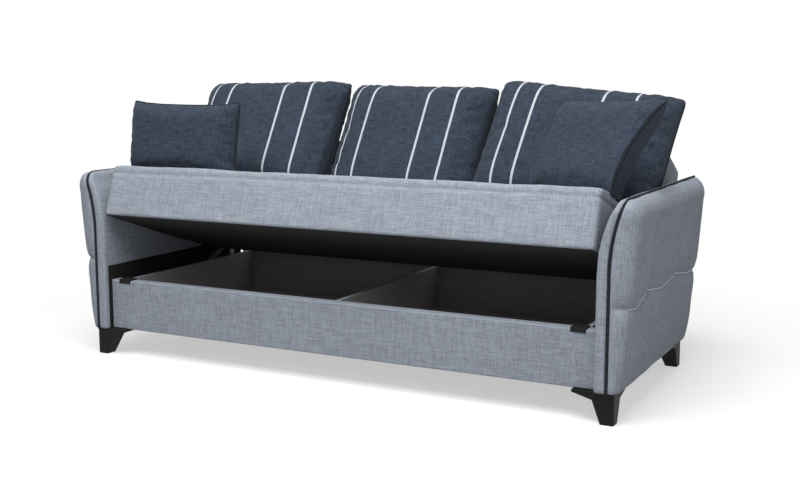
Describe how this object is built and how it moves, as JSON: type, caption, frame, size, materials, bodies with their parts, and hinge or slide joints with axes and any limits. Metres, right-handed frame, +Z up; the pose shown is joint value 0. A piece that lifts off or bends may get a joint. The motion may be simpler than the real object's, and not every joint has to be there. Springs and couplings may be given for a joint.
{
  "type": "storage sofa",
  "caption": "Three-seat storage sofa with a lift-up seat that tilts with its backrest over an open bedding box, flared piped arms, striped back cushions and throw pillows",
  "frame": {"origin": "on the floor, under the middle of the sofa's bounding box", "axes": "+X to the viewer's right along the sofa, +Y to the back, +Z up"},
  "size_m": [2.1544, 1.0259, 1.0198],
  "materials": {
    "grey_blue_linen": "matte",
    "striped_linen": "matte",
    "navy_linen": "matte",
    "navy_piping": "matte",
    "black_lining": "matte",
    "black_plastic": "satin",
    "black_rubber": "matte",
    "board": "matte",
    "zinc_steel": "satin",
    "black_steel": "satin",
    "spring_steel": "polished"
  },
  "bodies": {
    "base": {"front_rail_board": "board", "front_rail_cover": "grey_blue_linen", "side_panel_left": "board", "side_panel_right": "board", "back_wall": "board", "divider": "board", "floor_panel_left": "board", "floor_panel_right": "board", "wall_brackets": "zinc_steel", "bracket_screws": "zinc_steel", "seat_stop_left": "black_rubber", "seat_stop_right": "black_rubber", "leg_front_left": "black_plastic", "leg_front_right": "black_plastic", "leg_rear_left": "black_plastic", "leg_rear_right": "black_plastic", "corner_blocks": "board", "leg_screws": "zinc_steel", "arm_inner_pad_left": "grey_blue_linen", "arm_inner_pad_right": "grey_blue_linen", "arm_outer_pad_left": "grey_blue_linen", "arm_outer_pad_right": "grey_blue_linen", "arm_piping_left": "navy_piping", "arm_piping_right": "navy_piping", "arm_board_left": "board", "arm_board_right": "board", "arm_lining_left": "black_lining", "arm_lining_right": "black_lining", "base_bracket_left": "zinc_steel", "base_bracket_right": "zinc_steel", "bracket_packings": "board", "pivot_pins": "zinc_steel", "spring_hook_pins": "zinc_steel", "gear_bracket_bolts": "zinc_steel", "lift_spring_left": "spring_steel", "lift_spring_right": "spring_steel"},
    "seat": {"seat_upholstery": "grey_blue_linen", "seat_frame": "black_steel", "seat_slats": "board", "seat_dust_cover": "black_lining", "seat_arm_left": "zinc_steel", "seat_arm_right": "zinc_steel", "knee_pins": "zinc_steel", "pawls": "zinc_steel", "spring_tail_pins": "zinc_steel", "seat_bolts": "zinc_steel"},
    "back": {"back_upholstery": "grey_blue_linen", "back_frame": "black_steel", "back_slats": "board", "back_rear_cover": "black_lining", "back_arm_left": "zinc_steel", "back_arm_right": "zinc_steel", "back_bolts": "zinc_steel"},
    "cushion_left": {"back_cushion_left": "striped_linen"},
    "cushion_middle": {"back_cushion_middle": "striped_linen"},
    "cushion_right": {"back_cushion_right": "striped_linen"},
    "pillow_left": {"throw_pillow_left": "navy_linen"},
    "pillow_right": {"throw_pillow_right": "navy_linen"}
  },
  "joints": [
    {"name": "seat_lift", "type": "hinge", "parent": "base", "child": "seat", "pos_m": [0, 0.227, 0.385], "axis": [-1, 0, 0], "range_deg": [-18.5, 0], "deforming": ["lift_spring_left", "lift_spring_right"]},
    {"name": "back_recline", "type": "hinge", "parent": "seat", "child": "back", "pos_m": [0, 0.20142, 0.4157], "axis": [-1, 0, 0], "range_deg": [0, 55]},
    {"name": "cushion_left_lift", "type": "slide", "parent": "back", "child": "cushion_left", "axis": [0, 0.549, 0.8358], "range_m": [0, 0.25]},
    {"name": "cushion_middle_lift", "type": "slide", "parent": "back", "child": "cushion_middle", "axis": [0, 0.4802, 0.8771], "range_m": [0, 0.25]},
    {"name": "cushion_right_lift", "type": "slide", "parent": "back", "child": "cushion_right", "axis": [0, 0.518, 0.8554], "range_m": [0, 0.25]},
    {"name": "pillow_left_lift", "type": "slide", "parent": "seat", "child": "pillow_left", "axis": [0, 0.1564, 0.9877], "range_m": [0, 0.2]},
    {"name": "pillow_right_lift", "type": "slide", "parent": "cushion_right", "child": "pillow_right", "axis": [0, 0.4617, 0.887], "range_m": [0, 0.2]}
  ]
}
